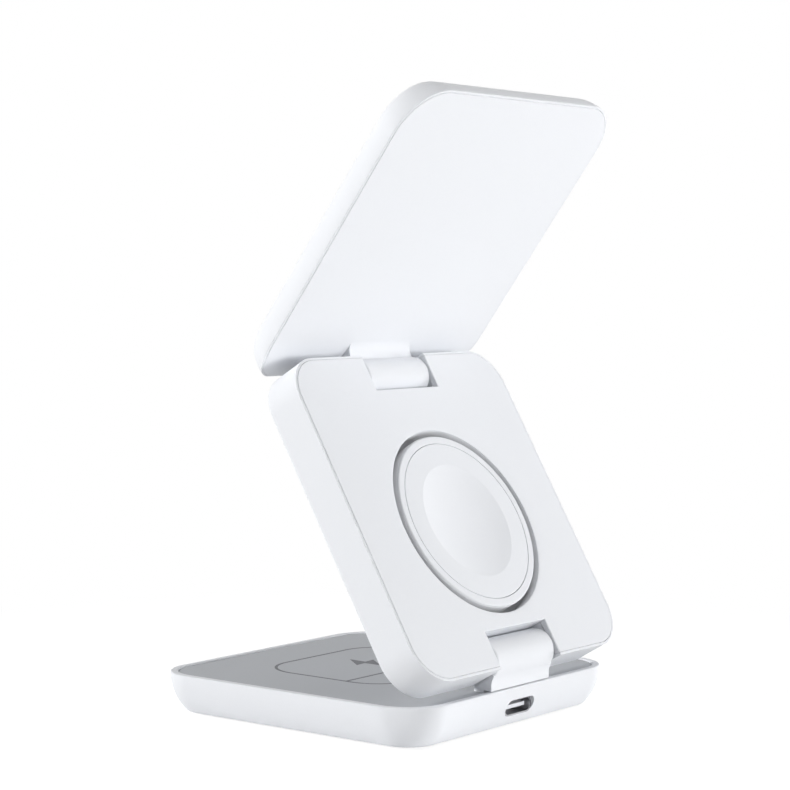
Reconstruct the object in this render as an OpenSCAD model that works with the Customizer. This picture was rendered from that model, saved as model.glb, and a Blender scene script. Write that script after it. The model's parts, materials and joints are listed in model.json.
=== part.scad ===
// Foldable wireless charging stand: three square pads joined in a Z by two
// friction hinges. The base pad charges earphones, the middle pad a watch and
// the upper pad a phone. All three pads lie flat on each other when folded.
// Millimetres, +Z up, origin on the table under the middle of the base.
// The user sits at -Y; the lower hinge and the power inlet are at +Y.

/* [Pose] */
// How far the middle pad is lifted off the base, degrees
middle_open = 59.6; // [0:0.1:90]
// How far the upper pad is swung away from the middle pad, degrees
upper_open = 112.5; // [0:0.1:120]

/* [Pads] */
// Width and depth of the base pad
pad_w = 65.4; // [50:0.1:90]
// Corner radius of the base pad in plan
corner_r = 9; // [5:0.5:15]
// Corner radius of the middle pad in plan
mid_corner_r = 8; // [5:0.5:15]
// Corner radius of the upper pad in plan
up_corner_r = 10; // [5:0.5:15]
// Length of the middle pad along its slope
mid_len = 65.94; // [50:0.02:90]
// Length of the upper pad
up_len = 67.1; // [50:0.1:90]
// Height of the base rim above the table
base_h = 8.4; // [6:0.1:14]
// Thickness of the middle pad
mid_t = 8.3; // [6:0.1:12]
// Thickness of the upper pad
up_t = 5.4; // [4:0.1:9]
// Wall thickness of the moulded shells
wall = 1.5; // [1:0.1:2.5]
// Thickness of the flat covers let into the shells
cover_t = 1.2; // [0.8:0.1:2]
// Width of the thin lip of a shell outside its cover
lip_w = 0.4; // [0.2:0.05:1]
// Shadow gap between a cover and the lip round it
seam = 0.2; // [0.1:0.05:0.4]
// How much lower the lip is than the cover
lip_drop = 0.3; // [0:0.05:0.8]

/* [Base] */
// Radius of the bowl shaped side of the base
base_arc = 11; // [8.4:0.1:16]
// Width of the raised white rim round the grey top plate
rim_w = 1.5; // [0.8:0.1:3]
// How far the grey top plate lies below the rim
plate_drop = 0.4; // [0.2:0.1:1.5]
// Thickness of the grey top plate
plate_t = 1.3; // [0.8:0.1:2.5]
// Gap under the shell that the anti slip pad fills
foot_gap = 0.6; // [0.2:0.1:1]
// Distance from the base edge to the anti slip pad
foot_inset = 6.5; // [6:0.5:16]

/* [Power inlet] */
// Height of the inlet centre above the table
port_z = 4.35; // [3:0.05:6]
// Width of the inlet opening
port_w = 9; // [8.4:0.1:10]
// Height of the inlet opening
port_h = 3.1; // [2.6:0.1:3.6]

/* [Hinges] */
// Distance of the lower hinge axis behind the base centre
axis_y = 29.5; // [20:0.1:40]
// Height of the lower hinge axis above the table
axis_z = 13.8; // [10:0.1:20]
// Lower hinge axis to the lower end of the middle pad
low_in = 3.2; // [1.5:0.1:5]
// Upper hinge axis to the upper end of the middle pad
top_in = 3.2; // [1.5:0.02:5]
// Upper hinge axis to the hinge end of the upper pad
up_in = 4.6; // [1.5:0.1:7]
// Upper hinge axis to the inner face of the upper pad
up_rise = 5; // [4.5:0.1:8]
// Radius of both hinge barrels
barrel_r = 4; // [3:0.1:6]
// Width of the hinge arms
arm_w = 18.8; // [10:0.1:30]
// Width of the notches in the middle pad
notch_w = 19.4; // [11:0.1:32]
// Clearance between a barrel and the end of its notch
notch_gap = 0.35; // [0.2:0.05:1]
// Radius of the hinge pins
pin_r = 1.25; // [0.8:0.05:2]
// Radius of the friction sleeves
sleeve_r = 2.4; // [1.8:0.05:3]
// Running clearance between a pin and its sleeve
run_gap = 0.05; // [0.01:0.01:0.1]
// Length of the hinge pins
pin_len = 30.6; // [22:0.1:40]
// Radius of the rounded barrel ends
barrel_edge = 0.6; // [0.3:0.1:2]

/* [Watch charger] */
// Distance of the watch disc centre from the lower end of the pad
watch_s = 29.7; // [24:0.1:40]
// Outer radius of the dark groove round the watch disc
moat_r = 19.3; // [16:0.1:22]
// Width of the chamfer outside the groove
moat_chamfer = 1; // [0:0.1:2]
// Outer radius of the watch disc
disc_r = 18.1; // [15:0.1:21]
// Radius of the joint between the disc rim and its cap
cap_r = 16.4; // [12:0.1:20]
// Radius of the hollow that takes the back of the watch
dish_r = 11.8; // [8:0.1:14]
// Depth of that hollow
dish_depth = 1.2; // [0.4:0.1:1.6]

/* [Upper pad] */
// Radius of the bowl shaped side of the upper pad
up_arc = 9.5; // [7:0.1:14]
// Length over which the inner face curves away towards its hinge end
heel_len = 8; // [3:0.1:14]
// Radius of that gentle curve
heel_big = 20; // [16:0.5:60]
// Radius of the rounded edge where the curve ends
heel_small = 2; // [1.4:0.1:3]
// Inner radius of the magnet ring
magnet_ri = 23; // [20:0.1:25]
// Outer radius of the magnet ring
magnet_ro = 27.6; // [25:0.1:28]
// Number of magnets in the ring
magnet_n = 16; // [8:1:24]

/* [Hidden] */
$fn = 96;
half = pad_w / 2;
mid_hw = 32.4;
mid_hy = mid_len / 2;
up_hw = 32.8;
up_hy = up_len / 2;
// folded position of the middle pad: centre along Y and face height
mid_cy = axis_y + low_in - mid_hy;
mid_face = axis_z + mid_t / 2;
// upper hinge axis and upper pad, folded
axis2_y = mid_cy - mid_hy + top_in;
up_face = axis_z + up_rise;
up_cy = axis2_y - up_in + up_hy;
watch_cy = mid_cy + mid_hy - watch_s;
notch_in_low = low_in + barrel_r + notch_gap;
notch_in_top = top_in + barrel_r + notch_gap;
plate_top = base_h - plate_drop;
plate_bot = plate_top - plate_t;
floor_top = foot_gap + wall;
port_y = 31.4;
screw_y = 22.4;
// the gentle heel curve starts at heel_y, the rounded edge is centred on tip_y and tip_z
heel_sin = heel_len / heel_big;
heel_y = axis2_y - up_in + heel_len + heel_small * (1 - heel_sin);
tip_y = heel_y - (heel_big - heel_small) * heel_sin;
tip_z = up_face + heel_big - (heel_big - heel_small) * sqrt(1 - heel_sin * heel_sin);

// poses

module at_middle() {
    translate([0, axis_y, axis_z]) rotate([-middle_open, 0, 0])
        translate([0, -axis_y, -axis_z]) children();
}

module at_upper() {
    at_middle() translate([0, axis2_y, axis_z]) rotate([upper_open, 0, 0])
        translate([0, -axis2_y, -axis_z]) children();
}

// shared shapes

// sweeps an edge profile round a rounded rectangle, top at z = 0
module swept(hx, hy, rc, depth) {
    for (c = [[1, 1, 0], [-1, 1, 90], [-1, -1, 180], [1, -1, 270]])
        translate([c[0] * (hx - rc), c[1] * (hy - rc), 0]) rotate([0, 0, c[2]])
            rotate_extrude(angle = 90) children();
    for (c = [[1, 0, 0], [-1, 0, 180]])
        rotate([0, 0, c[2]]) translate([hx - rc, 0, 0]) rotate([90, 0, 0])
            linear_extrude(2 * (hy - rc), center = true) children();
    for (c = [90, 270])
        rotate([0, 0, c]) translate([hy - rc, 0, 0]) rotate([90, 0, 0])
            linear_extrude(2 * (hx - rc), center = true) children();
    translate([0, 0, -depth / 2])
        cube([2 * (hx - rc), 2 * (hy - rc), depth], center = true);
}

// side of a bowl: upright at the top, curving in towards the bottom
module bowl_edge(rc, arc, depth) {
    intersection() {
        translate([0, -depth]) square([rc, depth]);
        translate([rc - arc, 0]) circle(arc);
    }
}

// straight side with a small rounded bottom edge
module straight_edge(rc, edge, depth) {
    translate([0, -depth + edge]) square([rc, depth - edge]);
    translate([0, -depth]) square([rc - edge, edge]);
    translate([rc - edge, -depth + edge]) circle(edge);
}

module bowl(hx, hy, rc, arc, depth) {
    swept(hx, hy, rc, depth) bowl_edge(rc, arc, depth);
}

module slab(hx, hy, rc, t) {
    linear_extrude(t) outline(hx, hy, rc);
}

module outline(hx, hy, rc) {
    square([2 * (hx - rc), 2 * hy], center = true);
    square([2 * hx, 2 * (hy - rc)], center = true);
    for (sx = [-1, 1], sy = [-1, 1])
        translate([sx * (hx - rc), sy * (hy - rc)]) circle(rc);
}

// lays a profile drawn in Y and Z along X, centred
module across(width) {
    rotate([90, 0, 90]) linear_extrude(width, center = true) children();
}

module rod(r, len) {
    rotate([0, 90, 0]) cylinder(h = len, r = r, center = true);
}

// barrel along X with rounded ends, centred on the hinge axis
module barrel() {
    rotate([0, 90, 0]) rotate_extrude() {
        square_half(barrel_r - barrel_edge, arm_w / 2);
        square_half(barrel_r, arm_w / 2 - barrel_edge);
        for (s = [-1, 1])
            translate([barrel_r - barrel_edge, s * (arm_w / 2 - barrel_edge)])
                circle(barrel_edge);
    }
}

module square_half(r, h) {
    translate([0, -h]) square([r, 2 * h]);
}

module disc_ring(ro, ri, t) {
    difference() {
        cylinder(h = t, r = ro);
        translate([0, 0, -1]) cylinder(h = t + 2, r = ri);
    }
}

module slot_shape(w, h) {
    square([w - h, h], center = true);
    for (s = [-1, 1]) translate([s * (w - h) / 2, 0]) circle(h / 2);
}

module port_slot(w, h, y0, y1) {
    translate([0, y1, port_z]) rotate([90, 0, 0])
        linear_extrude(y1 - y0) slot_shape(w, h);
}

module screw(len, r, head_r, head_h) {
    translate([0, 0, -len]) cylinder(h = len, r = r, $fn = 32);
    cylinder(h = head_h, r = head_r, $fn = 32);
}

// base pad

module base_shell() {
    color([0.95, 0.95, 0.95]) difference() {
        union() {
            difference() {
                translate([0, 0, base_h])
                    bowl(half, half, corner_r, base_arc, base_h - foot_gap);
                intersection() {
                    translate([0, 0, base_h]) bowl(half - wall, half - wall,
                        corner_r - wall, base_arc - wall, base_h - floor_top);
                    translate([0, 0, floor_top])
                        slab(half - wall, half - wall, corner_r - wall, 20);
                }
                // straight mouth that takes the top plate
                translate([0, 0, plate_bot])
                    slab(half - rim_w, half - rim_w, corner_r - rim_w, 5);
            }
            // ledge that carries the top plate
            difference() {
                translate([0, 0, plate_bot - 0.9]) slab(half - 1.4, half - 1.4, corner_r - 1.4, 0.9);
                translate([0, 0, plate_bot - 2]) slab(half - 2.9, half - 2.9, corner_r - 2.9, 3);
                translate([-10.2, 20, plate_bot - 2]) cube([20.4, 20, 3]);
            }
            // bosses under the feet of the hinge arm
            for (s = [-1, 1]) translate([s * 7.3, screw_y, floor_top - 0.2])
                cylinder(h = 0.9, r = 2.6);
        }
        // recess for the anti slip pad
        translate([0, 0, foot_gap - 1])
            slab(half - foot_inset + 0.1, half - foot_inset + 0.1, 5.1, 1.5);
        // screw holes with room for the heads
        for (s = [-1, 1]) translate([s * 7.3, screw_y, 0]) {
            cylinder(h = 4, r = 1.05, $fn = 32);
            cylinder(h = foot_gap + 1.6, r = 1.9, $fn = 32);
        }
        // power inlet opening
        port_slot(port_w, port_h, 28, 34);
    }
}

module base_top_plate() {
    color([0.67, 0.68, 0.7]) difference() {
        translate([0, 0, plate_bot])
            slab(half - rim_w - 0.08, half - rim_w - 0.08, corner_r - rim_w, plate_t);
        translate([0, 30, plate_bot - 1])
            translate([-arm_w / 2 - 0.12, -4.1, 0]) cube([arm_w + 0.24, 10, 5]);
    }
}

module anti_slip_pad() {
    color([0.25, 0.25, 0.26]) slab(half - foot_inset, half - foot_inset, 5, foot_gap + 0.48);
}

module usb_c_shell() {
    color([0.75, 0.75, 0.77]) difference() {
        port_slot(port_w - 0.1, port_h - 0.04, port_y - 7, port_y);
        port_slot(port_w - 0.7, port_h - 0.64, port_y - 6.3, port_y + 1);
    }
}

module usb_c_tongue() {
    color([0.08, 0.08, 0.09])
        translate([-3.35, port_y - 6.3, port_z - 0.35]) cube([6.7, 5.5, 0.7]);
}

module base_circuit_board() {
    color([0.1, 0.35, 0.2]) difference() {
        translate([-23, 7, floor_top + 0.02]) cube([46, 20.5, 0.6]);
        for (s = [-1, 1]) translate([s * 7.4 - 2.75, screw_y - 2.8, 0]) cube([5.5, 9, 5]);
    }
}

module base_board_chips() {
    z = floor_top + 0.64;
    color([0.12, 0.12, 0.13]) {
        translate([-19, 20, z]) cube([5, 5, 0.9]);
        translate([13.5, 19, z]) cube([6, 6, 1.1]);
        translate([-20.5, 10, z]) cube([3.2, 2.5, 0.6]);
        translate([16.5, 10, z]) cube([4, 4, 0.5]);
        translate([-12, 21.5, z]) cube([2, 3.5, 0.8]);
    }
}

module base_coil_tray() {
    color([0.85, 0.85, 0.83]) {
        translate([0, 0, 3.55]) disc_ring(20.6, 6, 0.7);
        for (a = [195, 270, 345]) rotate([0, 0, a])
            translate([18, 0, floor_top + 0.01]) cylinder(h = 1.8, r = 2);
    }
}

module base_ferrite() {
    color([0.16, 0.16, 0.17]) translate([0, 0, 4.27]) cylinder(h = 0.9, r = 20.5);
}

module base_coil() {
    color([0.72, 0.4, 0.2]) translate([0, 0, 5.2]) disc_ring(19.8, 9, 1.2);
}

module lower_hinge_arm() {
    color([0.94, 0.94, 0.94]) difference() {
        translate([0, axis_y, axis_z]) union() {
            barrel();
            across(arm_w) difference() {
                union() {
                    translate([-1.4, base_h + 0.12 - axis_z])
                        square([4, axis_z - base_h - 0.12]);
                    translate([2.5, -4.2]) square([1.2, 1.9]);
                    translate([-1.4, plate_bot + 0.5 - axis_z]) square([2.3, 3]);
                    translate([-3.4, plate_bot + 0.4 - axis_z]) square([4.3, plate_t - 0.45]);
                }
                // fillet where the barrel runs into the upright
                translate([5.6, -4.2]) circle(3);
            }
        }
        translate([0, axis_y, axis_z]) rod(sleeve_r, arm_w + 2);
    }
    // feet beside the power inlet, screwed on from below
    color([0.94, 0.94, 0.94]) for (s = [-1, 1]) difference() {
        union() {
            translate([s * 7.3 - 2, screw_y - 2.1, floor_top + 0.72])
                cube([4, 28.2 - screw_y + 2.1, plate_bot - 0.05 - floor_top - 0.72]);
            translate([s * 7.3 - 2, 26.1, 5]) cube([4, 3.7, plate_bot - 4.4]);
        }
        translate([s * 7.3, screw_y, 0]) cylinder(h = 6.2, r = 0.95, $fn = 32);
    }
}

module lower_friction_sleeve() {
    color([0.62, 0.62, 0.64]) translate([0, axis_y, axis_z]) difference() {
        rod(sleeve_r - 0.01, arm_w - 0.4);
        rod(pin_r + run_gap, arm_w + 2);
    }
}

module arm_screws() {
    color([0.6, 0.6, 0.62]) for (s = [-1, 1])
        translate([s * 7.3, screw_y, foot_gap + 1.58]) mirror([0, 0, 1])
            screw(4, 0.94, 1.75, 1);
}

// middle pad

module cheek_block(y0, y1) {
    for (s = [-1, 1]) translate([s > 0 ? notch_w / 2 : -notch_w / 2 - 5.8, y0, mid_face - mid_t + 0.5])
        cube([5.8, y1 - y0, mid_t - 3.4]);
}

module middle_shell() {
    lo = mid_cy + mid_hy;
    hi = mid_cy - mid_hy;
    color([0.95, 0.95, 0.95]) difference() {
        union() {
            difference() {
                translate([0, mid_cy, mid_face]) swept(mid_hw, mid_hy, mid_corner_r, mid_t)
                    straight_edge(mid_corner_r, 0.8, mid_t);
                // room inside
                translate([0, mid_cy, mid_face - mid_t + 1.3])
                    slab(mid_hw - wall, mid_hy - wall, mid_corner_r - wall, mid_t);
            }
            // walls round the two notches
            translate([-notch_w / 2 - 1.3, lo - notch_in_low - 1.3, mid_face - mid_t + 0.5])
                cube([notch_w + 2.6, notch_in_low + 0.5, mid_t - 0.5 - cover_t - 0.15]);
            translate([-notch_w / 2 - 1.3, hi + 0.8, mid_face - mid_t + 0.5])
                cube([notch_w + 2.6, notch_in_top + 0.5, mid_t - 0.5 - cover_t - 0.15]);
            // seats of the hinge pins
            cheek_block(lo - 8.3, lo - 0.8);
            cheek_block(hi + 0.8, hi + 8.1);
        }
        // rebate for the face plate, and the lip round it set lower
        translate([0, mid_cy, mid_face - cover_t - 0.02])
            slab(mid_hw - lip_w, mid_hy - lip_w, mid_corner_r - lip_w, 5);
        translate([0, mid_cy, mid_face - lip_drop])
            slab(mid_hw + 1, mid_hy + 1, mid_corner_r + 1, 5);
        // hinge notches, right through
        translate([-notch_w / 2, lo - notch_in_low, mid_face - mid_t - 1])
            cube([notch_w, 20, mid_t + 2]);
        translate([-notch_w / 2, hi + notch_in_top - 20, mid_face - mid_t - 1])
            cube([notch_w, 20, mid_t + 2]);
        // open seats that the pins are laid into
        for (y = [axis_y, axis2_y]) translate([0, y, axis_z]) {
            rod(pin_r + 0.01, pin_len + 0.2);
            translate([-pin_len / 2 - 0.1, -pin_r - 0.01, 0])
                cube([pin_len + 0.2, 2 * pin_r + 0.02, mid_t / 2 - cover_t]);
        }
        // pilot holes for the clamp screws
        for (x = [-13.3, 13.3], y = [axis_y - 3.5, axis2_y + 3.5])
            translate([x, y, mid_face - 6.7]) cylinder(h = 6, r = 0.8, $fn = 32);
    }
}

module watch_face_plate() {
    lo = mid_cy + mid_hy;
    hi = mid_cy - mid_hy;
    in = lip_w + seam;
    color([0.93, 0.93, 0.93]) difference() {
        translate([0, mid_cy, mid_face - cover_t])
            slab(mid_hw - in, mid_hy - in, mid_corner_r - in, cover_t);
        translate([-notch_w / 2, lo - notch_in_low, mid_face - 3]) cube([notch_w, 20, 5]);
        translate([-notch_w / 2, hi + notch_in_top - 20, mid_face - 3]) cube([notch_w, 20, 5]);
        translate([0, watch_cy, mid_face]) rotate_extrude()
            polygon([[0, -3], [moat_r, -3], [moat_r, -0.12], [moat_r + moat_chamfer, 0],
                [moat_r + moat_chamfer, 1], [0, 1]]);
    }
}

module hinge_pin(y) {
    color([0.7, 0.7, 0.72]) translate([0, y, axis_z]) rod(pin_r, pin_len);
}

module lower_hinge_pin() { hinge_pin(axis_y); }

module upper_hinge_pin() { hinge_pin(axis2_y); }

module clamp(x, y, dir) {
    color([0.66, 0.66, 0.68]) difference() {
        translate([x - 2.1, dir > 0 ? y - 5 : y - 0.9, mid_face - 2.88]) cube([4.2, 5.9, 1.5]);
        translate([x, y - dir * 3.5, mid_face - 4]) cylinder(h = 4, r = 0.9, $fn = 32);
        translate([x, y - dir * 3.5, mid_face - 2.1]) cylinder(h = 4, r = 1.55, $fn = 32);
    }
}

module lower_clamp_left() { clamp(-13.3, axis_y, 1); }

module lower_clamp_right() { clamp(13.3, axis_y, 1); }

module upper_clamp_left() { clamp(-13.3, axis2_y, -1); }

module upper_clamp_right() { clamp(13.3, axis2_y, -1); }

module clamp_screws() {
    color([0.55, 0.55, 0.57]) for (x = [-13.3, 13.3], y = [axis_y - 3.5, axis2_y + 3.5])
        translate([x, y, mid_face - 2.09]) screw(4.4, 0.79, 1.45, 0.65);
}

module watch_housing() {
    color([0.94, 0.94, 0.94]) translate([0, watch_cy, mid_face]) rotate_extrude() {
        // rounded rim of the disc
        translate([cap_r + 0.05, -2.9]) square([disc_r - cap_r - 0.05, 2.5]);
        translate([cap_r + 0.05, -0.9]) square([disc_r - cap_r - 0.45, 0.9]);
        translate([disc_r - 0.4, -0.4]) circle(0.4);
        // seat of the cap, floor of the groove and seat of the plate
        translate([15.6, -2.9]) square([cap_r + 0.1 - 15.6, 1.66]);
        translate([cap_r, -2.9]) square([moat_r - cap_r + 0.1, 0.86]);
        translate([moat_r + 0.05, -2.9]) square([20.3 - moat_r - 0.05, 1.66]);
        // cup
        translate([15.6, -6.4]) square([1.6, 4.6]);
        translate([0, -6.4]) square([16, 0.7]);
    }
}

module watch_cap() {
    color([0.97, 0.97, 0.97]) translate([0, watch_cy, mid_face]) difference() {
        union() {
            translate([0, 0, -1.22]) cylinder(h = 1.22, r = cap_r - 0.03);
            translate([0, 0, -2.05]) cylinder(h = 1, r = 15.5);
        }
        dish_ball();
    }
}

// ball that hollows the cap
module dish_ball() {
    r = (dish_r * dish_r + dish_depth * dish_depth) / (2 * dish_depth);
    rotate_extrude() intersection() {
        translate([0, r - dish_depth]) circle(r, $fn = 360);
        translate([0, -3]) square([dish_r + 0.2, 4]);
    }
}

module watch_coil() {
    color([0.72, 0.4, 0.2]) translate([0, watch_cy, mid_face - 3.1]) disc_ring(13.5, 5.6, 0.9);
}

module watch_ferrite() {
    color([0.16, 0.16, 0.17]) translate([0, watch_cy, mid_face - 3.95]) disc_ring(15.2, 5.6, 0.8);
}

module watch_magnet() {
    color([0.75, 0.75, 0.77]) translate([0, watch_cy, mid_face - 5.65]) cylinder(h = 3.4, r = 4.8);
}

module middle_circuit_board() {
    color([0.1, 0.35, 0.2]) translate([-27, mid_cy - 23.6, mid_face - 5]) cube([54, 6, 0.8]);
}

// upper pad, drawn folded with its inner face down

// everything at least t inside the inner face and its curved hinge end
module inside_face(t) {
    across(120) {
        translate([heel_y, up_face + t]) square([90, 20]);
        intersection() {
            translate([heel_y, up_face + heel_big]) circle(heel_big - t, $fn = 360);
            translate([heel_y - (heel_big - t) * heel_sin, up_face]) square([heel_len + 2, 20 + t]);
        }
        translate([tip_y, tip_z]) circle(heel_small - t);
        translate([tip_y - heel_small + t, tip_z]) square([6, up_face + 20 + t - tip_z]);
    }
}

module upper_body() {
    intersection() {
        translate([0, up_cy, up_face]) mirror([0, 0, 1])
            bowl(up_hw, up_hy, up_corner_r, up_arc, up_t);
        inside_face(0);
    }
}

module upper_shell() {
    color([0.95, 0.95, 0.95]) difference() {
        upper_body();
        // room inside
        intersection() {
            translate([0, up_cy, up_face]) mirror([0, 0, 1])
                bowl(up_hw - wall, up_hy - wall, up_corner_r - wall, up_arc - wall, up_t - 1.2);
            inside_face(0.5);
        }
        // rebate for the inner cover
        difference() {
            translate([0, up_cy, up_face - 1])
                slab(up_hw - lip_w, up_hy - lip_w, up_corner_r - lip_w, 6);
            inside_face(cover_t + 0.02);
        }
        // the lip lies a little lower than the cover
        translate([-50, -60, up_face - 5]) cube([100, 120, 5 + lip_drop]);
    }
}

module upper_inner_cover() {
    in = lip_w + seam;
    color([0.94, 0.94, 0.94]) difference() {
        union() {
            intersection() {
                upper_body();
                difference() {
                    translate([0, up_cy, up_face - 1])
                        slab(up_hw - in, up_hy - in, up_corner_r - in, 6);
                    inside_face(cover_t);
                }
            }
            // hinge arm and barrel, moulded on
            translate([0, axis2_y, axis_z]) {
                barrel();
                across(arm_w) difference() {
                    polygon([[-2.8, 0], [2.8, 0], [2.8, up_rise - 0.1], [5.6, up_rise - 0.1],
                        [5.6, up_rise + 0.5], [1, up_rise + 1.3], [-2.2, up_rise + 2.1], [-2.8, up_rise + 2.2]]);
                    // fillet into the inner face
                    translate([2.8 + 2.6, up_rise - 2.6]) circle(2.6);
                    translate([2.8 + 2.6, up_rise - 3]) square([3, 3]);
                }
            }
        }
        translate([0, axis2_y, axis_z]) rod(sleeve_r, arm_w + 2);
    }
}

module upper_friction_sleeve() {
    color([0.62, 0.62, 0.64]) translate([0, axis2_y, axis_z]) difference() {
        rod(sleeve_r - 0.01, arm_w - 0.4);
        rod(pin_r + run_gap, arm_w + 2);
    }
}

module magnet_ring() {
    color([0.74, 0.74, 0.76]) translate([0, up_cy, up_face + up_t - 2.45])
        for (i = [0:magnet_n - 1]) rotate([0, 0, (i + 0.5) * 360 / magnet_n])
            rotate_extrude(angle = 360 / magnet_n - 1.5)
                translate([magnet_ri, 0]) square([magnet_ro - magnet_ri, 1.2]);
}

module magnet_backing_ring() {
    color([0.5, 0.5, 0.52]) translate([0, up_cy, up_face + up_t - 2.9])
        disc_ring(magnet_ro, magnet_ri, 0.42);
}

module phone_coil() {
    color([0.72, 0.4, 0.2]) translate([0, up_cy, up_face + up_t - 2.2]) disc_ring(20.8, 10, 0.95);
}

module phone_ferrite() {
    color([0.16, 0.16, 0.17]) translate([0, up_cy, up_face + up_t - 2.95])
        cylinder(h = 0.72, r = 21.6);
}

module upper_circuit_board() {
    color([0.1, 0.35, 0.2]) translate([-14, up_cy - 16, up_face + cover_t + 0.1])
        cube([28, 14, 0.8]);
}

// assembly

base_shell();
base_top_plate();
anti_slip_pad();
usb_c_shell();
usb_c_tongue();
base_circuit_board();
base_board_chips();
base_coil_tray();
base_coil();
base_ferrite();
lower_hinge_arm();
lower_friction_sleeve();
arm_screws();
at_middle() middle_shell();
at_middle() watch_face_plate();
at_middle() lower_hinge_pin();
at_middle() upper_hinge_pin();
at_middle() lower_clamp_left();
at_middle() lower_clamp_right();
at_middle() upper_clamp_left();
at_middle() upper_clamp_right();
at_middle() clamp_screws();
at_middle() watch_housing();
at_middle() watch_cap();
at_middle() watch_coil();
at_middle() watch_ferrite();
at_middle() watch_magnet();
at_middle() middle_circuit_board();
at_upper() upper_shell();
at_upper() upper_inner_cover();
at_upper() upper_friction_sleeve();
at_upper() magnet_ring();
at_upper() magnet_backing_ring();
at_upper() phone_coil();
at_upper() phone_ferrite();
at_upper() upper_circuit_board();
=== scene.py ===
import bpy
import bmesh
import json
import math
from mathutils import Matrix, Vector


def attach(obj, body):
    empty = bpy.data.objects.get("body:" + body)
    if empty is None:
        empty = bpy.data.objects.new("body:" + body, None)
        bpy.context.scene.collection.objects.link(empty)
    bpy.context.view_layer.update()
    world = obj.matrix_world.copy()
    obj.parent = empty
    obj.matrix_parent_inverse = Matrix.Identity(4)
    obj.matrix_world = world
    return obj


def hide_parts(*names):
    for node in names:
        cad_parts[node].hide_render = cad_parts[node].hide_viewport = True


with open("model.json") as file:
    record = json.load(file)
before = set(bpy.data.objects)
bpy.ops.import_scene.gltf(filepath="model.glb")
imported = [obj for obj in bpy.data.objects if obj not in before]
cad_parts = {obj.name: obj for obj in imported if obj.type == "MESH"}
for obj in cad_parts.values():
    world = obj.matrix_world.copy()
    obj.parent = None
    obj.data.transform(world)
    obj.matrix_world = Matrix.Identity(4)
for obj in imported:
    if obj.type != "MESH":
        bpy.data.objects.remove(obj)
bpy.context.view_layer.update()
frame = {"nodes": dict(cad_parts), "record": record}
scene = bpy.context.scene
mm = 0.001

# Shared sizes, in millimetres, with every pad drawn folded flat as in the part's source.
pads = {"half": 32.7, "midHalf": 32.4, "midLength": 32.97, "upHalf": 32.8, "upLength": 33.55,
        "corner": 9.0, "midCorner": 8.0, "upCorner": 10.0,
        "lip": 0.5, "seam": 0.06, "bed": 1.32, "drop": 0.05,
        "plate": 1.2, "plateEdge": 0.1, "plateBand": 6.5}
hinge = {"axisY": 29.5, "axisZ": 13.8, "lowIn": 3.2, "topIn": 3.2, "upIn": 4.6,
         "rise": 5.0, "radius": 4.0, "edge": 0.6, "armHalf": 9.4, "notchHalf": 9.7, "reach": 4.35,
         "faceRise": 4.15, "watchIn": 26.5, "middleOpen": 59.6, "upperOpen": 112.5}
midCentreY = hinge["axisY"] + hinge["lowIn"] - pads["midLength"]
midFaceZ = hinge["axisZ"] + hinge["faceRise"]
axisTwoY = midCentreY - pads["midLength"] + hinge["topIn"]
upFaceZ = hinge["axisZ"] + hinge["rise"]
upCentreY = axisTwoY - hinge["upIn"] + pads["upLength"]
watchY = hinge["axisY"] - hinge["watchIn"]


def turnAbout(y, z, degrees):
    return (Matrix.Translation((0, y, z)) @ Matrix.Rotation(math.radians(degrees), 4, "X")
            @ Matrix.Translation((0, -y, -z)))


flatPose = Matrix.Identity(4)
middlePose = turnAbout(hinge["axisY"], hinge["axisZ"], -hinge["middleOpen"])
upperPose = middlePose @ turnAbout(axisTwoY, hinge["axisZ"], hinge["upperOpen"])


# materials

# Height of the fine grain on a surface, in metres.
grainHeight = 0.00002


def newMaterial(name, colour, rough, grain, specular=0.5, metal=0.0, tone=0.03, bump=0.0, scale=900.0):
    # A plain moulded or metal surface with fine grain in colour, roughness and height.
    m = bpy.data.materials.new(name)
    m.use_nodes = True
    nt = m.node_tree
    shader = nt.nodes["Principled BSDF"]
    shader.inputs["Metallic"].default_value = metal
    shader.inputs["Specular IOR Level"].default_value = specular
    place = nt.nodes.new("ShaderNodeTexCoord")
    noise = nt.nodes.new("ShaderNodeTexNoise")
    noise.inputs["Scale"].default_value = scale
    noise.inputs["Detail"].default_value = 3.0
    nt.links.new(place.outputs["Object"], noise.inputs["Vector"])
    ramp = nt.nodes.new("ShaderNodeMix")
    ramp.data_type = "RGBA"
    ramp.inputs["A"].default_value = [c * (1 - tone) for c in colour] + [1]
    ramp.inputs["B"].default_value = [min(1.0, c * (1 + tone)) for c in colour] + [1]
    nt.links.new(noise.outputs["Fac"], ramp.inputs["Factor"])
    nt.links.new(ramp.outputs["Result"], shader.inputs["Base Color"])
    span = nt.nodes.new("ShaderNodeMapRange")
    span.inputs["To Min"].default_value = rough - grain
    span.inputs["To Max"].default_value = rough + grain
    nt.links.new(noise.outputs["Fac"], span.inputs["Value"])
    nt.links.new(span.outputs["Result"], shader.inputs["Roughness"])
    if bump:
        height = nt.nodes.new("ShaderNodeBump")
        height.inputs["Strength"].default_value = bump
        height.inputs["Distance"].default_value = grainHeight
        nt.links.new(noise.outputs["Fac"], height.inputs["Height"])
        nt.links.new(height.outputs["Normal"], shader.inputs["Normal"])
    return m


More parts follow.
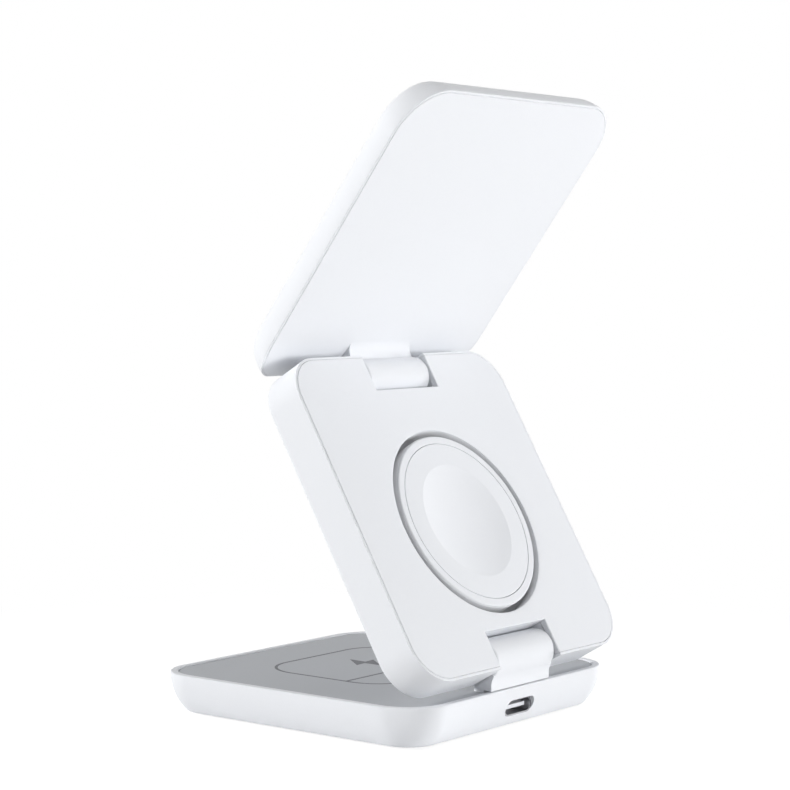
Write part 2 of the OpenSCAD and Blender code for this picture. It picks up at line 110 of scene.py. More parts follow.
looks = {
    "white_plastic": newMaterial("whitePlastic", (0.845, 0.86, 0.89), 0.45, 0.04,
                                 specular=0.4, tone=0.012, bump=0.1, scale=2400),
    "grey_plate": newMaterial("greyPlate", (0.53, 0.545, 0.57), 0.6, 0.05,
                              specular=0.4, bump=0.2, scale=2400),
    # Near-white sheet for the disc's groove; painted shade is added to it by depth below.
    "painted_groove_shade": newMaterial("grooveGrey", (0.86, 0.87, 0.89), 0.7, 0.05, specular=0.2),
    "icon_grey": newMaterial("iconGrey", (0.16, 0.165, 0.18), 0.6, 0.05),
    "rubber_pad": newMaterial("rubberPad", (0.10, 0.10, 0.105), 0.8, 0.08, specular=0.3, bump=0.4),
    "plated_steel": newMaterial("platedSteel", (0.45, 0.45, 0.47), 0.35, 0.08, metal=1.0),
    "hinge_steel": newMaterial("hingeSteel", (0.5, 0.5, 0.52), 0.4, 0.1, metal=1.0),
    "black_plastic": newMaterial("blackPlastic", (0.02, 0.02, 0.022), 0.5, 0.08),
    "inner_plastic": newMaterial("innerPlastic", (0.7, 0.7, 0.68), 0.5, 0.06),
    "circuit_board": newMaterial("circuitBoard", (0.03, 0.16, 0.08), 0.4, 0.08, tone=0.12),
    "copper_coil": newMaterial("copperCoil", (0.62, 0.28, 0.12), 0.35, 0.1, metal=0.9, tone=0.15),
    "ferrite": newMaterial("ferriteGrey", (0.05, 0.05, 0.055), 0.75, 0.1, tone=0.12),
    "magnet": newMaterial("magnetPlate", (0.6, 0.6, 0.62), 0.3, 0.08, metal=1.0),
}

# Painted shade: the groove round the watch disc is coloured darker towards its floor, with depths in
# millimetres.
grooveShade = {"shallow": 0.7, "deep": 2.3, "colour": (0.58, 0.585, 0.6)}


def darkenWithDepth(m, along, surface, shallow, deep, colour):
    # Painted shade: fades the colour to a dark one between two depths (mm) under a plane.
    nt = m.node_tree
    base = nt.nodes["Principled BSDF"].inputs["Base Color"]
    place = nt.nodes.new("ShaderNodeTexCoord")
    dot = nt.nodes.new("ShaderNodeVectorMath")
    dot.operation = "DOT_PRODUCT"
    dot.inputs[1].default_value = along
    nt.links.new(place.outputs["Object"], dot.inputs[0])
    level = surface.dot(along)
    span = nt.nodes.new("ShaderNodeMapRange")
    span.inputs["From Min"].default_value = (level - shallow) * mm
    span.inputs["From Max"].default_value = (level - deep) * mm
    nt.links.new(dot.outputs["Value"], span.inputs["Value"])
    mix = nt.nodes.new("ShaderNodeMix")
    mix.data_type = "RGBA"
    mix.inputs["B"].default_value = (*colour, 1)
    nt.links.new(span.outputs["Result"], mix.inputs["Factor"])
    nt.links.new(base.links[0].from_socket, mix.inputs["A"])
    nt.links.new(mix.outputs["Result"], base)


darkenWithDepth(looks["painted_groove_shade"], middlePose.to_3x3() @ Vector((0, 0, 1)),
                middlePose @ Vector((0, watchY, midFaceZ)), **grooveShade)
slotOf = {s["node"]: s["material_slot"] for s in frame["record"]["subparts"]}
for name, node in frame["nodes"].items():
    node.data.materials.clear()
    node.data.materials.append(looks[slotOf[name]])
print("materials ready")


# building helpers

# Points nearer than these are made one, in metres: while building, and when a piece is finished.
buildWeld = 1e-7
finalWeld = 2e-6
shortEdge = 1e-6
# Edges that turn less than this are shaded smooth, in degrees.
softAngle = 34.0


def makeObject(name, mesh, slotName):
    ob = bpy.data.objects.new(name, mesh)
    scene.collection.objects.link(ob)
    mesh.materials.clear()
    mesh.materials.append(looks[slotName])
    return ob


def meshFrom(name, verts, faces):
    mesh = bpy.data.meshes.new(name)
    mesh.from_pydata([(x * mm, y * mm, z * mm) for x, y, z in verts], [], faces)
    mesh.validate()
    return mesh


def outward(mesh, fill=False):
    # Welds a mesh, closes its open ends if asked to, and turns its faces outward.
    bm = bmesh.new()
    bm.from_mesh(mesh)
    bmesh.ops.remove_doubles(bm, verts=bm.verts, dist=buildWeld)
    if fill:
        bmesh.ops.edgeloop_fill(bm, edges=[e for e in bm.edges if e.is_boundary])
    bmesh.ops.recalc_face_normals(bm, faces=bm.faces)
    bm.to_mesh(mesh)
    bm.free()
    return mesh


def arc(cx, cy, r, a0, a1, n):
    return [(cx + r * math.cos(math.radians(a0 + (a1 - a0) * i / n)),
             cy + r * math.sin(math.radians(a0 + (a1 - a0) * i / n))) for i in range(n + 1)]


def topEdge(r, top):
    # The rounded edge of a flat top, as (inset, height), from the top outward.
    turns = [math.radians(a) for a in (0, 22, 45, 68, 90)]
    return [(r - r * math.sin(a), top - r + r * math.cos(a)) for a in turns]


def bowlInset(radius, depth):
    return radius - math.sqrt(radius ** 2 - depth ** 2)


def bowlSide(radius, top, first, last, steps=16):
    # A side that curves in as a circle does, between two depths under its top.
    depths = [first + (last - first) * k / steps for k in range(1, steps + 1)]
    return [(bowlInset(radius, d), top - d) for d in depths]


def loft(name, rings):
    # A solid through rings of as many points each, closed flat at both ends.
    n = len(rings[0])
    last = (len(rings) - 1) * n
    faces = [[k * n + i, k * n + (i + 1) % n, (k + 1) * n + (i + 1) % n, (k + 1) * n + i]
             for k in range(len(rings) - 1) for i in range(n)]
    faces += [list(range(n))[::-1], [last + i for i in range(n)]]
    return outward(meshFrom(name, [p for ring in rings for p in ring], faces))


def extrudeX(name, outline, x0, x1):
    # A solid with that Y and Z outline, between two X positions.
    return loft(name, [[(x, y, z) for y, z in outline] for x in (x0, x1)])


def loftZ(name, levels, y0, y1, x0, x1):
    # A box whose sides step out at each level (z, growth), for cutters with chamfered mouths.
    return loft(name, [[(x0 - g, y0 - g, z), (x1 + g, y0 - g, z), (x1 + g, y1 + g, z), (x0 - g, y1 + g, z)]
                       for z, g in levels])


def turned(name, outline, steps):
    # A solid turned about Z from an outline of (radius, z).
    verts, faces, rings = [], [], []
    nothing = 1e-6
    for r, z in outline:
        if r < nothing:
            rings.append([len(verts)])
            verts.append((0, 0, z))
        else:
            rings.append(list(range(len(verts), len(verts) + steps)))
            verts += [(r * math.cos(2 * math.pi * k / steps), r * math.sin(2 * math.pi * k / steps), z)
                      for k in range(steps)]
    n = len(outline)
    closed = outline[0][0] > nothing
    for i in range(n if closed else n - 1):
        a, b = rings[i], rings[(i + 1) % n]
        for k in range(steps):
            q = [a[k % len(a)], a[(k + 1) % len(a)], b[(k + 1) % len(b)], b[k % len(b)]]
            q = [v for j, v in enumerate(q) if v not in q[:j]]
            if len(q) > 2:
                faces.append(q)
    return outward(meshFrom(name, verts, faces))


def sweepTree():
    # Geometry Nodes: a profile curve carried round a rounded rectangle.
    t = bpy.data.node_groups.new("padSweep", "GeometryNodeTree")
    face = t.interface
    face.new_socket("Geometry", in_out="OUTPUT", socket_type="NodeSocketGeometry")
    for label, kind in (("Half Width", "NodeSocketFloat"), ("Half Length", "NodeSocketFloat"),
                        ("Corner Radius", "NodeSocketFloat"), ("Corner Steps", "NodeSocketInt"),
                        ("Profile", "NodeSocketObject"), ("Material", "NodeSocketMaterial")):
        face.new_socket(label, in_out="INPUT", socket_type=kind)
    n, link = t.nodes, t.links
    gi = n.new("NodeGroupInput")
    go = n.new("NodeGroupOutput")
    quad = n.new("GeometryNodeCurvePrimitiveQuadrilateral")
    wide = n.new("ShaderNodeMath")
    deep = n.new("ShaderNodeMath")
    for m, label in ((wide, "Half Width"), (deep, "Half Length")):
        m.operation = "MULTIPLY"
        m.inputs[1].default_value = 2.0
        link.new(gi.outputs[label], m.inputs[0])
    link.new(wide.outputs[0], quad.inputs["Width"])
    link.new(deep.outputs[0], quad.inputs["Height"])
    fillet = n.new("GeometryNodeFilletCurve")
    fillet.mode = "POLY"
    link.new(quad.outputs[0], fillet.inputs["Curve"])
    link.new(gi.outputs["Corner Radius"], fillet.inputs["Radius"])
    link.new(gi.outputs["Corner Steps"], fillet.inputs["Count"])
    info = n.new("GeometryNodeObjectInfo")
    link.new(gi.outputs["Profile"], info.inputs["Object"])
    sweep = n.new("GeometryNodeCurveToMesh")
    link.new(fillet.outputs[0], sweep.inputs["Curve"])
    link.new(info.outputs["Geometry"], sweep.inputs["Profile Curve"])
    real = n.new("GeometryNodeRealizeInstances")
    link.new(sweep.outputs[0], real.inputs[0])
    paint = n.new("GeometryNodeSetMaterial")
    link.new(real.outputs[0], paint.inputs["Geometry"])
    link.new(gi.outputs["Material"], paint.inputs["Material"])
    link.new(paint.outputs[0], go.inputs[0])
    return t


padSweep = sweepTree()


def curveFrom(name, points, closed):
    cu = bpy.data.curves.new(name, "CURVE")
    cu.dimensions = "3D"
    sp = cu.splines.new("POLY")
    sp.points.add(len(points) - 1)
    for p, (x, y) in zip(sp.points, points):
        p.co = (x * mm, y * mm, 0, 1)
    sp.use_cyclic_u = closed
    ob = bpy.data.objects.new(name, cu)
    scene.collection.objects.link(ob)
    return ob


def plainMesh(ob, name):
    deps = bpy.context.evaluated_depsgraph_get()
    mesh = bpy.data.meshes.new_from_object(ob.evaluated_get(deps), depsgraph=deps)
    mesh.name = name
    return mesh


def dropObject(ob):
    data = ob.data
    bpy.data.objects.remove(ob)
    if isinstance(data, bpy.types.Mesh) and not data.users:
        bpy.data.meshes.remove(data)
    elif isinstance(data, bpy.types.Curve) and not data.users:
        bpy.data.curves.remove(data)


def sweptRing(name, halfX, halfY, corner, profile, slotName, steps=20, closed=True):
    # The profile of (inset, height) carried round the outline.
    rule = curveFrom(name + "Rule", [(-i, -z) for i, z in profile], closed)
    host = bpy.data.objects.new(name, bpy.data.meshes.new(name))
    scene.collection.objects.link(host)
    mod = host.modifiers.new("sweep", "NODES")
    mod.node_group = padSweep
    ids = {s.name: s.identifier for s in padSweep.interface.items_tree if s.in_out == "INPUT"}
    for label, value in (("Half Width", halfX * mm), ("Half Length", halfY * mm),
                         ("Corner Radius", corner * mm), ("Corner Steps", steps),
                         ("Profile", rule), ("Material", looks[slotName])):
        mod[ids[label]] = value
    mesh = plainMesh(host, name + "Mesh")
    dropObject(host)
    dropObject(rule)
    return mesh


def sweptPad(name, halfX, halfY, corner, profile, slotName, steps=24):
    # A closed solid: the swept profile with both of its open ends capped flat.
    return outward(sweptRing(name, halfX, halfY, corner, profile, slotName, steps, False), fill=True)


def moveMesh(mesh, x, y, z):
    mesh.transform(Matrix.Translation((x * mm, y * mm, z * mm)))
    return mesh


def cutMesh(mesh, tools, mode="DIFFERENCE"):
    # Boolean of one mesh with several, each applied in turn.
    host = bpy.data.objects.new("cutHost", mesh)
    scene.collection.objects.link(host)
    for tool in tools:
        other = bpy.data.objects.new("cutTool", tool)
        scene.collection.objects.link(other)
        mod = host.modifiers.new("cut", "BOOLEAN")
        mod.operation = mode
        mod.solver = "EXACT"
        mod.object = other
        result = plainMesh(host, mesh.name)
        host.modifiers.clear()
        host.data = result
        dropObject(other)
    result = host.data
    bpy.data.objects.remove(host)
    return result


def finishMesh(mesh, pose):
    # Cleans a mesh, shades it smooth between soft edges and puts it in its place.
    bm = bmesh.new()
    bm.from_mesh(mesh)
    bmesh.ops.remove_doubles(bm, verts=bm.verts, dist=finalWeld)
    bmesh.ops.dissolve_degenerate(bm, edges=bm.edges, dist=shortEdge)
    bmesh.ops.recalc_face_normals(bm, faces=bm.faces)
    for f in bm.faces:
        f.smooth = True
    for e in bm.edges:
        e.smooth = len(e.link_faces) == 2 and e.calc_face_angle(0) < math.radians(softAngle)
    bm.to_mesh(mesh)
    bm.free()
    host = bpy.data.objects.new("shadeHost", mesh)
    scene.collection.objects.link(host)
    mod = host.modifiers.new("weights", "WEIGHTED_NORMAL")
    mod.keep_sharp = True
    mod.weight = 80
    result = plainMesh(host, mesh.name)
    dropObject(host)
    result.transform(Matrix.Translation(pose.translation * mm) @ pose.to_3x3().to_4x4())
    return result


def place(name, mesh, slotName, body, stands, pose):
    ob = makeObject(name, finishMesh(mesh, pose), slotName)
    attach(ob, body)
    if stands:
        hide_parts(*stands)


# The lip of a shell round its cover, as (inset, height), from the cover's bed outward.
lipLine = [(pads["lip"], -pads["bed"]), (pads["lip"], -2 * pads["drop"]),
           (pads["lip"] - 0.03, -pads["drop"]), (0.12, -pads["drop"])]


# base pad

baseLook = {"rimTop": 8.4, "underside": 0.6, "arc": 11.0, "edge": 0.28, "rim": 1.5, "rimEdge": 0.2,
            "bed": 6.7, "foot": 0.25, "footMiddle": (0.05, 0.06), "band": 8.4}
inletLook = {"z": 4.35, "halfX": 2.95, "radius": 1.55, "endY": 27.0, "mouthY": 31.75, "pastY": 34.0,
             "growth": 0.35}
plateLook = {"top": 8.2, "foot": 6.72, "gap": 0.08, "edge": 0.25, "edgeMiddle": (0.08, 0.07),
             "slotHalf": 9.42, "slotFront": 28.06, "slotBack": 34.0, "slotLow": 6.0, "slotHigh": 9.0}


def inletCut():
    # The power inlet: a rounded slot that widens towards its mouth.
    k = inletLook
    rings = []
    for y, growth in ((k["endY"], 0.0), (k["mouthY"], 0.0), (k["pastY"], k["growth"])):
        r = k["radius"] + growth
        ring = arc(-k["halfX"], 0, r, 90, 270, 16) + arc(k["halfX"], 0, r, -90, 90, 16)
        rings.append([(x, y, k["z"] + z) for x, z in ring])
    return loft("inletCut", rings)


def baseShell():
    b = baseLook
    top, low, edge, rimEdge = b["rimTop"], b["underside"], b["edge"], b["rimEdge"]
    deep = top - low
    inset = bowlInset(b["arc"], deep)
    footIn, footUp = b["footMiddle"]
    profile = [(b["rim"], b["bed"])] + arc(b["rim"] - rimEdge, top - rimEdge, rimEdge, 0, 90, 3)
    profile += topEdge(edge, top) + bowlSide(b["arc"], top, edge, deep - b["foot"])
    profile += [(inset + footIn, low + footUp), (inset + b["foot"], low), (b["band"], low)]
    mesh = sweptPad("baseShell", pads["half"], pads["half"], pads["corner"], profile, "white_plastic")
    mesh = cutMesh(mesh, [inletCut()])
    place("baseShellLook", mesh, "white_plastic", "base", ["base_shell"], flatPose)


def baseTopPlate():
    k = plateLook
    top, low, edge, band = k["top"], k["foot"], k["edge"], pads["plateBand"]
    edgeIn, edgeDown = k["edgeMiddle"]
    inset = baseLook["rim"] + k["gap"]
    profile = [(band, top), (edge, top), (edgeIn, top - edgeDown), (0.0, top - edge), (0.0, low), (band, low)]
    mesh = sweptPad("baseTopPlate", pads["half"] - inset, pads["half"] - inset, pads["corner"] - inset,
                    profile, "grey_plate", 20)
    cut = loftZ("plateCut", [(k["slotLow"], 0), (k["slotHigh"], 0)], k["slotFront"], k["slotBack"],
                -k["slotHalf"], k["slotHalf"])
    place("baseTopPlateLook", cutMesh(mesh, [cut]), "grey_plate", "base", ["base_top_plate"], flatPose)


iconLook = {"centre": (-0.95, -3.0), "halfX": 17.95, "halfY": 16.2, "corner": 8.5, "stroke": 0.6,
            "lidY": 3.3, "height": 0.02, "boltPlace": (-0.4, -5.3),
            "bolt": [(0.7, 6.2), (-3.4, 1.0), (-0.6, 1.25), (-0.8, -2.9), (3.4, 2.3), (0.6, 2.05)]}


def plateIcon():
    # A plain drawing of an earphone case printed on the grey plate: outline, lid line and a bolt.
    k = iconLook
    top = plateLook["top"]
    w, h = k["stroke"], k["height"]
    cx, cy = k["centre"]
    outline = sweptRing("iconOutline", k["halfX"], k["halfY"], k["corner"],
                        [(0, 0), (w, 0), (w, h), (0, h)], "icon_grey")
    moveMesh(outline, cx, cy, top)
    x0, x1 = cx - k["halfX"] + w / 2, cx + k["halfX"] - w / 2
    lid = loftZ("iconLid", [(top, 0), (top + h, 0)], k["lidY"] - w / 2, k["lidY"] + w / 2, x0, x1)
    bx, by = k["boltPlace"]
    bolt = loft("iconBolt", [[(cx + bx + x, cy + by + y, z) for x, y in k["bolt"]] for z in (top, top + h)])
    for name, mesh in (("iconOutline", outline), ("iconLid", lid), ("iconBolt", bolt)):
        place(name, mesh, "icon_grey", "base", None, flatPose)


baseShell()
baseTopPlate()
plateIcon()
print("base pad built")


# hinge barrels and arms

# Places in Y and Z are counted from the hinge axis.
armLook = {"front": -1.4, "rear": 2.6, "bendZ": -4.2, "bend": 3.0, "bendEnd": 143.13, "inBarrel": 0.5,
           "aboveRim": 0.12, "neckRear": 0.9, "neckDown": 1.5, "neckUp": 0.3}


def barrelMesh(name, y, z):
    h, r, e = hinge["armHalf"], hinge["radius"], hinge["edge"]
    outline = [(0, -h)] + arc(r - e, -h + e, e, -90, 0, 8) + arc(r - e, h - e, e, 0, 90, 8) + [(0, h)]
    mesh = turned(name, outline, 72)
    mesh.transform(Matrix.Rotation(math.radians(90), 4, "Y"))
    return moveMesh(mesh, 0, y, z)


def lowerArm():
    # Barrel, upright in front of the notch and the neck that goes down beside the top plate.
    k = armLook
    y0, z0, h = hinge["axisY"], hinge["axisZ"], hinge["armHalf"]
    front, rear, low = k["front"], k["rear"], baseLook["rimTop"] + k["aboveRim"] - z0
    upright = [(front, low), (rear, low), (rear, k["bendZ"])]
    upright += arc(rear + k["bend"], k["bendZ"], k["bend"], 180, k["bendEnd"], 10)
    upright += [(k["inBarrel"], 0), (front, 0)]
    foot, head = low - k["neckDown"], low + k["neckUp"]
    neck = [(front, foot), (k["neckRear"], foot), (k["neckRear"], head), (front, head)]
    parts = [extrudeX(name, [(y0 + y, z0 + z) for y, z in side], -h, h)
             for name, side in (("lowerUpright", upright), ("lowerNeck", neck))]
    mesh = cutMesh(barrelMesh("lowerArm", y0, z0), parts, "UNION")
    place("lowerArmLook", mesh, "white_plastic", "base", ["lower_hinge_arm"], flatPose)


lowerArm()
print("lower hinge built")


# middle pad

middleLook = {"thick": 8.3, "backEdge": 0.8, "band": 7.6, "lipEdge": [(0.035, -0.085), (0.0, -0.17)],
              "roomRadius": 20.34, "roomDepth": 2.95}
notchLook = {"past": 6, "deep": 9.5, "chamfer": 0.14}
# The opening in the face plate round the disc's groove, with its mouth counted from its radius.
moatLook = {"radius": 19.36, "deep": 3,
            "mouth": [(0.0, -0.2), (0.04, -0.13), (0.14, -0.09), (0.94, 0.0), (1.74, 0.1)]}
aboveFace = 1


def notchCut(name, edgeY, depth, sign):
    # Cutter for a hinge notch: open past the pad's end, with a small chamfer at the face.
    k = notchLook
    inner = edgeY - sign * depth
    outer = edgeY + sign * k["past"]
    f, c = midFaceZ, k["chamfer"]
    levels = [(f - k["deep"], 0), (f - c, 0), (f, c), (f + aboveFace, aboveFace + c)]
    return loftZ(name, levels, min(inner, outer), max(inner, outer), -hinge["notchHalf"], hinge["notchHalf"])


def bothNotches():
    low, top = midCentreY + pads["midLength"], midCentreY - pads["midLength"]
    return [notchCut("lowNotch", low, hinge["lowIn"] + hinge["reach"], 1),
            notchCut("topNotch", top, hinge["topIn"] + hinge["reach"], -1)]


def watchTurned(name, outline, steps):
    # A turned solid on the axis of the watch disc, with heights counted from the pad's face.
    return moveMesh(turned(name, outline, steps), 0, watchY, midFaceZ)


def middleShell():
    k = middleLook
    thick, edge = k["thick"], k["backEdge"]
    profile = lipLine + k["lipEdge"] + arc(edge, edge - thick, edge, 180, 270, 9) + [(k["band"], -thick)]
    mesh = sweptPad("middleShell", pads["midHalf"], pads["midLength"], pads["midCorner"],
                    profile, "white_plastic")
    moveMesh(mesh, 0, midCentreY, midFaceZ)
    r, low = k["roomRadius"], -k["roomDepth"]
    room = watchTurned("housingRoom", [(0, low), (r, low), (r, aboveFace), (0, aboveFace)], 128)
    mesh = cutMesh(mesh, bothNotches() + [room])
    place("middleShellLook", mesh, "white_plastic", "middle_pad", ["middle_shell"], middlePose)


def facePlate():
    band, thick = pads["plateBand"], pads["plate"]
    inset = pads["lip"] + pads["seam"]
    profile = [(band, 0.0)] + topEdge(pads["plateEdge"], 0.0) + [(0.0, -thick), (band, -thick)]
    mesh = sweptPad("facePlate", pads["midHalf"] - inset, pads["midLength"] - inset,
                    pads["midCorner"] - inset, profile, "white_plastic")
    moveMesh(mesh, 0, midCentreY, midFaceZ)
    r, low = moatLook["radius"], -moatLook["deep"]
    mouth = [(r + out, z) for out, z in moatLook["mouth"]]
    moat = [(0, low), (r, low)] + mouth + [(mouth[-1][0], aboveFace), (0, aboveFace)]
    mesh = cutMesh(mesh, bothNotches() + [watchTurned("moatCut", moat, 128)])
    place("facePlateLook", mesh, "white_plastic", "middle_pad", ["watch_face_plate"], middlePose)


discLook = {"rim": 18.1, "edge": 0.4, "inner": 16.47, "innerEdge": 0.06, "wall": 19.35, "outer": 20.3,
            "floor": 2.7, "ledge": 1.24, "foot": 2.9}
# Sizes of the thin sheet in the groove that carries its painted shade.
shadeSheetLook = {"radius": 19.36, "innerThick": 0.06, "outerThick": 0.05, "innerTop": 0.42, "outerTop": 0.4,
             "floor": 2.6, "foot": 2.69}
capLook = {"radius": 16.37, "edge": [(-0.17, 0.0), (-0.05, -0.04), (0.0, -0.14)], "dish": 11.8, "depth": 1.2,
           "dishEdge": [(-0.03, -0.012), (0.04, 0.0)], "flange": 1.22, "neck": 15.5, "foot": 2.05}


def discRim():
    k = discLook
    r, e, inner, outer = k["rim"], k["edge"], k["inner"], k["outer"]
    rim = [(inner, -k["innerEdge"]), (inner + k["innerEdge"], 0.0)] + arc(r - e, -e, e, 90, 0, 10)
    rim += [(r, -k["floor"]), (k["wall"], -k["floor"]), (k["wall"], -k["ledge"]), (outer, -k["ledge"])]
    rim += [(outer, -k["foot"]), (inner, -k["foot"])]
    mesh = watchTurned("discRim", rim, 160)
    place("discRimLook", mesh, "white_plastic", "middle_pad", ["watch_housing"], middlePose)


def grooveLiner():
    # Painted shade: a thin sheet over the groove's two walls and floor, coloured darker with depth.
    k = shadeSheetLook
    r0, r1 = discLook["rim"], k["radius"]
    in0, in1 = r0 + k["innerThick"], r1 - k["outerThick"]
    sheet = [(r0, -k["innerTop"]), (in0, -k["innerTop"]), (in0, -k["floor"]), (in1, -k["floor"])]
    sheet += [(in1, -k["outerTop"]), (r1, -k["outerTop"]), (r1, -k["foot"]), (r0, -k["foot"])]
    mesh = watchTurned("grooveLiner", sheet, 160)
    place("grooveLinerLook", mesh, "painted_groove_shade", "middle_pad", None, middlePose)


def discCap():
    # The cap of the disc, hollowed as a shallow part of a ball.
    k = capLook
    d, h, r, steps = k["dish"], k["depth"], k["radius"], 20
    ball = (d ** 2 + h ** 2) / (2 * h)
    cap = [(d * t / steps, ball - h - math.sqrt(ball ** 2 - (d * t / steps) ** 2)) for t in range(steps)]
    cap += [(d + out, z) for out, z in k["dishEdge"]] + [(r + out, z) for out, z in k["edge"]]
    cap += [(r, -k["flange"]), (k["neck"], -k["flange"]), (k["neck"], -k["foot"]), (0, -k["foot"])]
    mesh = watchTurned("discCap", cap, 160)
    place("discCapLook", mesh, "white_plastic", "middle_pad", ["watch_cap"], middlePose)


middleShell()
facePlate()
discRim()
grooveLiner()
discCap()
print("middle pad built")


# upper pad, drawn folded with its inner face down

upperLook = {"thick": 5.4, "arc": 9.5, "curveLength": 8.0, "curveRadius": 20.0, "tipRadius": 2.0,
             "lipEdge": [(0.045, -0.09)], "sideTop": (0.012, 0.2), "sideEnd": 0.6, "band": 8.4,
             "backEdge": [(-0.12, 0.3), (0.05, 0.1), (0.32, 0.015), (0.6, 0.0)]}
coverLook = {"height": 5.0, "wall": 1.2, "room": 1.3, "bedBand": 6, "bedFoot": -1,
             "neckHalf": 2.8, "fillet": 2.6,
             "root": [(5.7, 0.03), (5.7, 0.5), (1.0, 1.3), (-2.2, 2.1), (-2.8, 2.2)]}
# How far the heel's block goes past the pad, each way.
pastPad = {"x": 60, "y": 80, "z": 20}


def heelLine(inset):
    # The inner face seen from the side: flat, then a gentle curve, then a small rounded tip.
    u = upperLook
    big, small, reach = u["curveRadius"], u["tipRadius"], u["curveLength"]
    slope = math.degrees(math.asin(reach / big))
    startY = axisTwoY - hinge["upIn"] + reach + small * (1 - reach / big)
    tipY = startY - (big - small) * math.sin(math.radians(slope))
    tipZ = upFaceZ + big - (big - small) * math.cos(math.radians(slope))
    line = arc(startY, upFaceZ + big, big - inset, 270, 270 - slope, 24)
    return line + arc(tipY, tipZ, small - inset, 270 - slope, 180, 16)[1:]


def heelBlock(name, inset):
    # Everything inside the inner face and its curved hinge end.
    line = heelLine(inset)
    farY, farZ = line[0][0] + pastPad["y"], upFaceZ + pastPad["z"]
    outline = [(farY, upFaceZ + inset)] + line + [(line[-1][0], farZ), (farY, farZ)]
    return extrudeX(name, outline, -pastPad["x"], pastPad["x"])


def upperBowl(name, start):
    # The pad's outside, curved in toward its back, after the first points of its profile.
    u = upperLook
    thick = u["thick"]
    inset, top = u["sideTop"]
    edge = bowlInset(u["arc"], thick)
    profile = start + [(inset, -top)] + bowlSide(u["arc"], 0, top, thick - u["sideEnd"])
    profile += [(edge + i, z - thick) for i, z in u["backEdge"]] + [(u["band"], -thick)]
    mesh = sweptPad(name, pads["upHalf"], pads["upLength"], pads["upCorner"], profile, "white_plastic")
    mesh.transform(Matrix.Scale(-1, 4, (0, 0, 1)))
    return moveMesh(outward(mesh), 0, upCentreY, upFaceZ)


def insidePad(name, inset, profile):
    mesh = sweptPad(name, pads["upHalf"] - inset, pads["upLength"] - inset, pads["upCorner"] - inset,
                    profile, "white_plastic")
    return moveMesh(mesh, 0, upCentreY, upFaceZ)


def upperShell():
    k = coverLook
    mesh = upperBowl("upperShell", lipLine + upperLook["lipEdge"])
    mesh = cutMesh(mesh, [heelBlock("heelCut", 0.0)], "INTERSECT")
    # room for the cover where it wraps round the hinge end
    band, low, top = k["bedBand"], k["bedFoot"], k["height"]
    bed = insidePad("coverBed", pads["lip"], [(band, low), (0, low), (0, top), (band, top)])
    mesh = cutMesh(mesh, [cutMesh(bed, [heelBlock("heelDeep", k["room"])])])
    place("upperShellLook", mesh, "white_plastic", "upper_pad", ["upper_shell"], upperPose)


def innerCover():
    k = coverLook
    band, top = pads["plateBand"], k["height"]
    edge = [(i, -z) for i, z in topEdge(pads["plateEdge"], 0.0)][::-1]
    profile = [(band, top), (0.0, top)] + edge + [(band, 0.0)]
    mesh = insidePad("innerCover", pads["lip"] + pads["seam"], profile)
    limit = upperBowl("coverLimit", [(upperLook["band"], aboveFace), (0.0, aboveFace)])
    mesh = cutMesh(mesh, [heelBlock("heelOuter", 0.0), limit], "INTERSECT")
    mesh = cutMesh(mesh, [heelBlock("heelInner", k["wall"])])
    half, r, rise = k["neckHalf"], k["fillet"], hinge["rise"]
    neck = [(-half, 0), (half, 0), (half, rise - r)] + arc(half + r, rise - r, r, 180, 90, 14)
    neck += [(y, rise + z) for y, z in k["root"]]
    arm = extrudeX("neck", [(axisTwoY + y, hinge["axisZ"] + z) for y, z in neck],
                   -hinge["armHalf"], hinge["armHalf"])
    mesh = cutMesh(mesh, [arm, barrelMesh("upperBarrel", axisTwoY, hinge["axisZ"])], "UNION")
    place("innerCoverLook", mesh, "white_plastic", "upper_pad", ["upper_inner_cover"], upperPose)


upperShell()
innerCover()
print("upper pad built")


# stage, light and camera, in metres

studio = {"ambient": 0.06, "floorHalf": 1.4, "floorBounce": 0.86, "floorShade": 0.45, "floorGlow": 0.83,
          "fadeFrom": 0.06, "fadeTo": 0.16, "aim": (0, 0, 0.06),
          "rear": {"where": (-0.15, 0.8, 0.05), "size": (0.3, 0.25), "power": 5.3},
          "side": {"where": (-0.8, 0.35, 0.08), "size": (0.3, 0.25), "power": 4.5},
          "left": {"where": (0.94, -0.55, 0.46), "size": (0.4, 0.4), "power": 11.4},
          "top": {"where": (0.0, 0.1, 0.7), "size": (0.5, 0.5), "power": 0.62}}


def addLamp(name, where, size, power):
    lamp = bpy.data.lights.new(name, "AREA")
    lamp.shape = "RECTANGLE"
    lamp.size, lamp.size_y = size
    lamp.energy = power
    ob = bpy.data.objects.new(name, lamp)
    scene.collection.objects.link(ob)
    ob.location = where
    ob.visible_glossy = False
    ob.rotation_euler = (Vector(studio["aim"]) - Vector(where)).to_track_quat("-Z", "Y").to_euler()


def plainRays(nt):
    # One for the rays that see a plain white room: camera, glossy and transmission rays.
    path = nt.nodes.new("ShaderNodeLightPath")
    seen = path.outputs["Is Camera Ray"]
    for label in ("Is Glossy Ray", "Is Transmission Ray"):
        either = nt.nodes.new("ShaderNodeMath")
        either.operation = "MAXIMUM"
        nt.links.new(seen, either.inputs[0])
        nt.links.new(path.outputs[label], either.inputs[1])
        seen = either.outputs[0]
    return seen


def mixShaders(nt, fac, first, second):
    mix = nt.nodes.new("ShaderNodeMixShader")
    nt.links.new(fac, mix.inputs["Fac"])
    nt.links.new(first, mix.inputs[1])
    nt.links.new(second, mix.inputs[2])
    return mix.outputs[0]


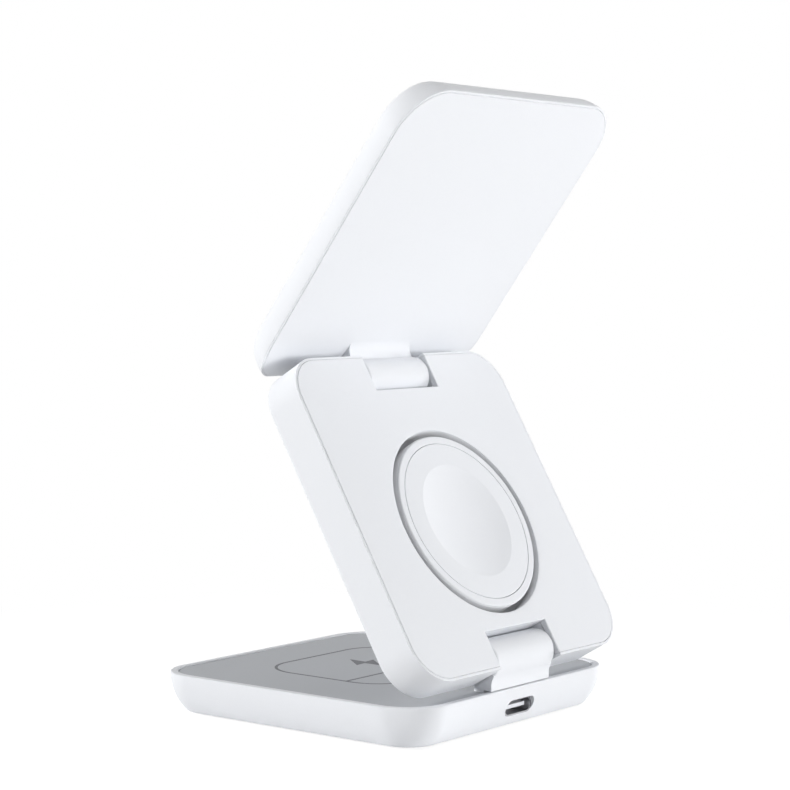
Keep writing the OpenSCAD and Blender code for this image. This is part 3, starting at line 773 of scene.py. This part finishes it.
def setWorld():
    world = bpy.data.worlds.new("studio")
    scene.world = world
    world.use_nodes = True
    nt = world.node_tree
    nt.nodes.clear()
    out = nt.nodes.new("ShaderNodeOutputWorld")
    shades = []
    for strength in (studio["ambient"], 1.0):
        sky = nt.nodes.new("ShaderNodeBackground")
        sky.inputs["Color"].default_value = (1.0, 1.0, 1.0, 1)
        sky.inputs["Strength"].default_value = strength
        shades.append(sky.outputs[0])
    nt.links.new(mixShaders(nt, plainRays(nt), *shades), out.inputs["Surface"])


def diffuse(nt, grey):
    node = nt.nodes.new("ShaderNodeBsdfDiffuse")
    node.inputs["Color"].default_value = (grey, grey, grey, 1)
    return node.outputs[0]


def emission(nt, strength):
    node = nt.nodes.new("ShaderNodeEmission")
    node.inputs["Strength"].default_value = strength
    return node.outputs[0]


def floorMaterial():
    # White to the camera, a little darker where the object's shadow falls, white again far out.
    m = bpy.data.materials.new("paleFloor")
    m.use_nodes = True
    nt = m.node_tree
    nt.nodes.clear()
    out = nt.nodes.new("ShaderNodeOutputMaterial")
    place = nt.nodes.new("ShaderNodeTexCoord")
    far = nt.nodes.new("ShaderNodeVectorMath")
    far.operation = "LENGTH"
    nt.links.new(place.outputs["Object"], far.inputs[0])
    fade = nt.nodes.new("ShaderNodeMapRange")
    fade.interpolation_type = "SMOOTHSTEP"
    fade.inputs["From Min"].default_value = studio["fadeFrom"]
    fade.inputs["From Max"].default_value = studio["fadeTo"]
    nt.links.new(far.outputs["Value"], fade.inputs["Value"])
    caught = nt.nodes.new("ShaderNodeAddShader")
    nt.links.new(diffuse(nt, studio["floorShade"]), caught.inputs[0])
    nt.links.new(emission(nt, studio["floorGlow"]), caught.inputs[1])
    shown = mixShaders(nt, fade.outputs["Result"], caught.outputs[0], emission(nt, 1.0))
    bounce = diffuse(nt, studio["floorBounce"])
    nt.links.new(mixShaders(nt, plainRays(nt), bounce, shown), out.inputs["Surface"])
    return m


def makeFloor():
    half = studio["floorHalf"] / mm
    corners = [(-half, -half, 0), (half, -half, 0), (half, half, 0), (-half, half, 0)]
    mesh = meshFrom("floor", corners, [[0, 1, 2, 3]])
    ob = bpy.data.objects.new("floor", mesh)
    scene.collection.objects.link(ob)
    mesh.materials.append(floorMaterial())


# The camera's place and its two axes, found by fitting it to the photograph's outlines.
lens = {"place": (0.33398, 0.26492, 0.08518), "back": (0.78446, 0.61779, 0.05440),
        "right": (-0.61878, 0.78556, 0.00166), "focal": 99.28, "sensor": 36.0, "near": 0.01}


def addCamera():
    cam = bpy.data.cameras.new("photoCamera")
    cam.lens = lens["focal"]
    cam.sensor_width = lens["sensor"]
    cam.clip_start = lens["near"]
    ob = bpy.data.objects.new("photoCamera", cam)
    scene.collection.objects.link(ob)
    back = Vector(lens["back"]).normalized()
    right = Vector(lens["right"]).normalized()
    up = back.cross(right).normalized()
    turn = Matrix((right, up, back)).transposed().to_4x4()
    ob.matrix_world = Matrix.Translation(lens["place"]) @ turn
    scene.camera = ob


setWorld()
makeFloor()
for lampName in ("rear", "side", "left", "top"):
    addLamp(lampName + "Lamp", **studio[lampName])
addCamera()
scene.view_settings.view_transform = "Standard"
print("stage, light and camera set")
